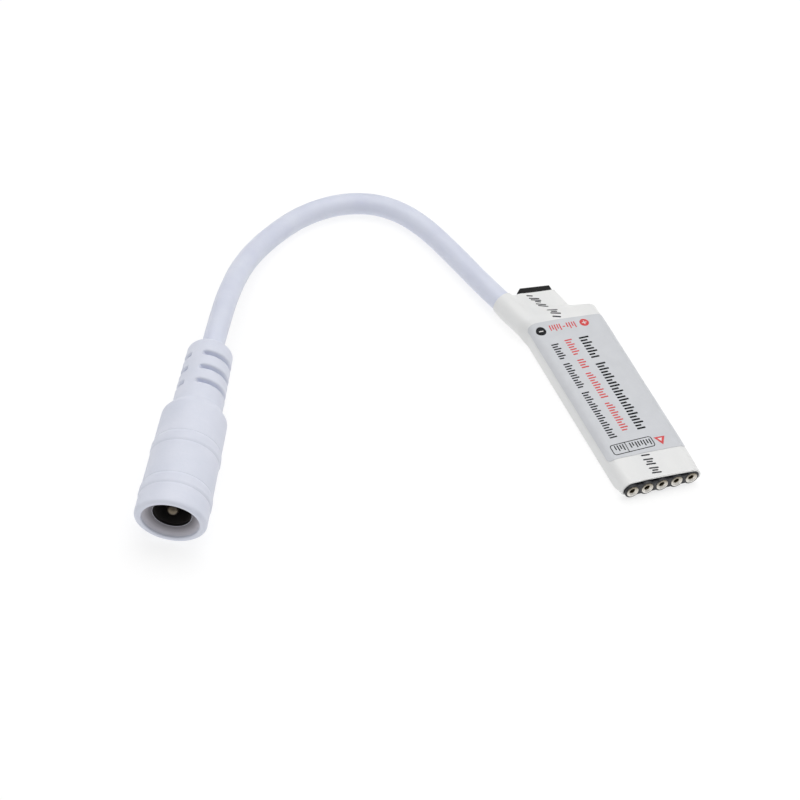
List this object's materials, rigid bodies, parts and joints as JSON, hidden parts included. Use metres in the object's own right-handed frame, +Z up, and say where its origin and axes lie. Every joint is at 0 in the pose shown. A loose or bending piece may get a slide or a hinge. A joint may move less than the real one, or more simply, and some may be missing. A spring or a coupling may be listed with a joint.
{
  "type": "led strip controller",
  "caption": "Inline lighting strip controller: a circuit board in a white shrink sleeve with a row of output sockets, and a short cable to a barrel supply jack.",
  "frame": {"origin": "on the sleeve's flat underside, in line with the middle of the output header and 0.6 mm behind the point under the label's middle", "axes": "+Y along the sleeve from the outputs towards the cable, +Z up from the surface that the controller lies on"},
  "size_m": [0.0876, 0.0738, 0.0121],
  "materials": {
    "sleeve_film": "smooth shrunk film, slight sheen",
    "label_face": "satin grey label",
    "board_mask": "black solder mask",
    "copper_gold": "gold-flashed copper",
    "header_black": "black moulding",
    "tinned_contact": "bright tin plate on turned brass",
    "gold_clip": "dull gold plate",
    "solder_tin": "solder",
    "chip_black": "moulded epoxy",
    "resistor_film": "glazed film",
    "ceramic_tan": "fired ceramic",
    "coil_grey": "ferrite",
    "can_steel": "pressed metal lid",
    "core_red": "red insulation",
    "core_black": "black insulation",
    "tinned_wire": "tinned copper strand",
    "cable_white": "soft bluish white jacket",
    "jack_white": "soft bluish white moulding",
    "insert_black": "black moulding",
    "pin_nickel": "nickel plate on brass",
    "leaf_brass": "spring brass",
    "inner_grey": "stiff natural moulding"
  },
  "bodies": {
    "root": {"shrink_sleeve": "sleeve_film", "rating_label": "label_face", "circuit_board": "board_mask", "board_pads": "copper_gold", "antenna_trace": "copper_gold", "header_housing": "header_black", "contact_shells": "tinned_contact", "contact_clips": "gold_clip", "output_solder": "solder_tin", "output_transistors": "chip_black", "gate_resistors": "resistor_film", "microcontroller": "chip_black", "radio_receiver": "chip_black", "crystal": "can_steel", "voltage_regulator": "chip_black", "input_capacitor": "ceramic_tan", "regulator_capacitor": "ceramic_tan", "bypass_capacitors": "ceramic_tan", "bias_resistors": "resistor_film", "matching_inductor": "coil_grey", "positive_lead": "core_red", "negative_lead": "core_black", "lead_conductors": "tinned_wire", "lead_solder": "solder_tin", "supply_cable": "cable_white", "jack_overmould": "jack_white", "jack_insulator": "insert_black", "jack_centre_pin": "pin_nickel", "jack_spring_contact": "leaf_brass", "jack_inner_shell": "inner_grey", "jack_positive_lead": "core_red", "jack_negative_lead": "core_black", "jack_solder": "solder_tin"}
  },
  "joints": []
}
